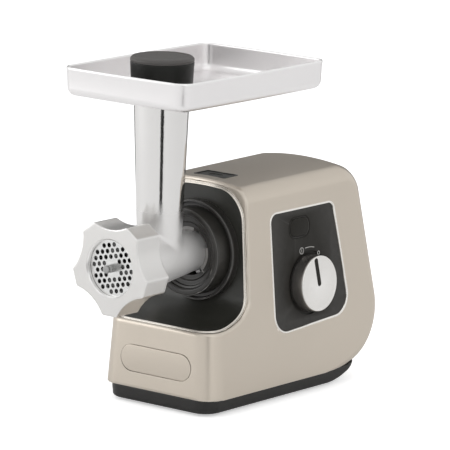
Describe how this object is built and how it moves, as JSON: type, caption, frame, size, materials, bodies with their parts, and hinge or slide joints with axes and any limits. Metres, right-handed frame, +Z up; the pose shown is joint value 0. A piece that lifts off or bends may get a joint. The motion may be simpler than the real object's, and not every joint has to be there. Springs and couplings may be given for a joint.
{
  "type": "electric meat grinder",
  "caption": "Countertop electric meat grinder: motor housing with side controls, metal grinding head with lobed ring nut, feed tube, tray and pusher.",
  "frame": {"origin": "on the table, below the middle of the object's box", "axes": "+Z up; -Y towards the ring nut, where the meat leaves; +X towards the side with the knob"},
  "size_m": [0.1601, 0.3526, 0.3509],
  "materials": {
    "shell_paint": "satin champagne-silver metallic paint on moulded plastic",
    "bezel_silver": "bright silver paint under a clear coat",
    "black_plastic": "fine spark-eroded satin black",
    "black_gloss": "smooth black with a soft gloss",
    "foot_rubber": "matt black rubber",
    "steel": "turned bright steel",
    "cast_alloy": "as cast",
    "bronze": "oil-soaked sintered bronze",
    "core_steel": "stacked laminations",
    "copper": "enamelled copper",
    "dark_plastic": "moulded dark grey",
    "board_green": "solder mask",
    "gear_nylon": "natural nylon",
    "head_alloy": "polished cast aluminium",
    "blade_steel": "ground steel",
    "nut_alloy": "satin blasted cast aluminium",
    "tray_metal": "pressed and brushed aluminium",
    "pusher_plastic": "satin dark grey",
    "knob_silver": "spun silver face and turned side"
  },
  "bodies": {
    "chassis": {"main_shell": "shell_paint", "base_tray": "black_plastic", "rubber_feet": "foot_rubber", "front_panel": "black_plastic", "front_bezel": "bezel_silver", "hub_collar": "black_plastic", "control_panel": "black_gloss", "control_bezel": "bezel_silver", "badge_plate": "shell_paint", "release_surround": "black_plastic", "cord_gland": "foot_rubber", "housing_screws": "steel", "gearbox_housing": "cast_alloy", "gearbox_cover": "cast_alloy", "gearbox_screws": "steel", "first_gear_pin": "steel", "second_gear_pin": "steel", "output_front_bush": "bronze", "output_rear_bush": "bronze", "motor_stator": "core_steel", "field_coils": "copper", "motor_front_bracket": "cast_alloy", "motor_rear_bracket": "cast_alloy", "motor_front_bearing": "steel", "motor_rear_bearing": "steel", "brush_holders": "dark_plastic", "circuit_board": "board_green", "rotary_switch": "dark_plastic", "push_switch": "dark_plastic"},
    "rotor": {"rotor_shaft": "steel", "rotor_core": "core_steel", "commutator": "copper", "cooling_fan": "dark_plastic", "motor_pinion": "steel"},
    "first_gear_body": {"first_gear": "gear_nylon"},
    "second_gear_body": {"second_gear": "gear_nylon"},
    "output": {"output_gear": "steel", "drive_shaft": "steel"},
    "tail_washer_body": {"tail_washer": "gear_nylon"},
    "auger_body": {"auger": "head_alloy", "auger_drive": "gear_nylon", "cutter_blade": "blade_steel"},
    "head": {"head_casting": "head_alloy"},
    "plate": {"perforated_plate": "blade_steel"},
    "nut": {"ring_nut": "nut_alloy"},
    "tray_body": {"tray": "tray_metal"},
    "pusher_body": {"pusher": "pusher_plastic", "pusher_cap": "pusher_plastic"},
    "knob": {"knob_body": "knob_silver", "knob_face": "knob_silver", "knob_pointer": "black_gloss", "knob_shaft": "steel"},
    "push_button_body": {"push_button": "black_gloss"},
    "release": {"release_button": "black_gloss", "release_spring": "steel", "latch_arm": "dark_plastic"}
  },
  "joints": [
    {"name": "rotor_spin", "type": "hinge", "parent": "chassis", "child": "rotor", "pos_m": [0.0118, 0, 0.06615], "axis": [0, 1, 0], "continuous": true},
    {"name": "first_gear_spin", "type": "hinge", "parent": "chassis", "child": "first_gear_body", "pos_m": [-0.02385, 0, 0.06114], "axis": [0, 1, 0], "continuous": true},
    {"name": "second_gear_spin", "type": "hinge", "parent": "chassis", "child": "second_gear_body", "pos_m": [0, 0, 0.0993], "axis": [0, 1, 0], "continuous": true},
    {"name": "output_spin", "type": "hinge", "parent": "chassis", "child": "output", "pos_m": [0, 0, 0.1513], "axis": [0, 1, 0], "continuous": true},
    {"name": "head_pull", "type": "slide", "parent": "chassis", "child": "tail_washer_body", "axis": [0, -1, 0], "range_m": [0, 0.08]},
    {"name": "auger_spin", "type": "hinge", "parent": "tail_washer_body", "child": "auger_body", "pos_m": [0, 0, 0.1513], "axis": [0, 1, 0], "continuous": true},
    {"name": "head_turn", "type": "hinge", "parent": "tail_washer_body", "child": "head", "pos_m": [0, 0, 0.1513], "axis": [0, 1, 0], "range_deg": [0, 45]},
    {"name": "plate_slide", "type": "slide", "parent": "head", "child": "plate", "axis": [0, -1, 0], "range_m": [0, 0.0135]},
    {"name": "nut_turn", "type": "hinge", "parent": "plate", "child": "nut", "pos_m": [0, 0, 0.1513], "axis": [0, -1, 0], "range_deg": [0, 1080]},
    {"name": "tray_lift", "type": "slide", "parent": "head", "child": "tray_body", "axis": [0, 0, 1], "range_m": [0, 0.03]},
    {"name": "pusher_lift", "type": "slide", "parent": "tray_body", "child": "pusher_body", "axis": [0, 0, 1], "range_m": [0, 0.16]},
    {"name": "knob_turn", "type": "hinge", "parent": "chassis", "child": "knob", "pos_m": [0.06599, 0.061, 0.1124], "axis": [0.9981, 0, 0.0619], "range_deg": [0, 40]},
    {"name": "push_button_press", "type": "slide", "parent": "chassis", "child": "push_button_body", "axis": [-0.9981, 0, -0.0619], "range_m": [0, 0.0025], "stiffness_N_per_m": 400, "springref_m": -0.003},
    {"name": "release_press", "type": "slide", "parent": "chassis", "child": "release", "axis": [0, 0, -1], "range_m": [0, 0.0033], "stiffness_N_per_m": 600, "springref_m": -0.003, "deforming": ["release_spring"]}
  ],
  "couplings": [
    {"joint": "first_gear_spin", "follows": "rotor_spin", "ratio": -0.2},
    {"joint": "second_gear_spin", "follows": "rotor_spin", "ratio": 0.05},
    {"joint": "output_spin", "follows": "rotor_spin", "ratio": -0.016667},
    {"joint": "auger_spin", "follows": "rotor_spin", "ratio": -0.016667},
    {"joint": "plate_slide", "follows": "nut_turn", "m_per_rad": 0.0007162}
  ]
}
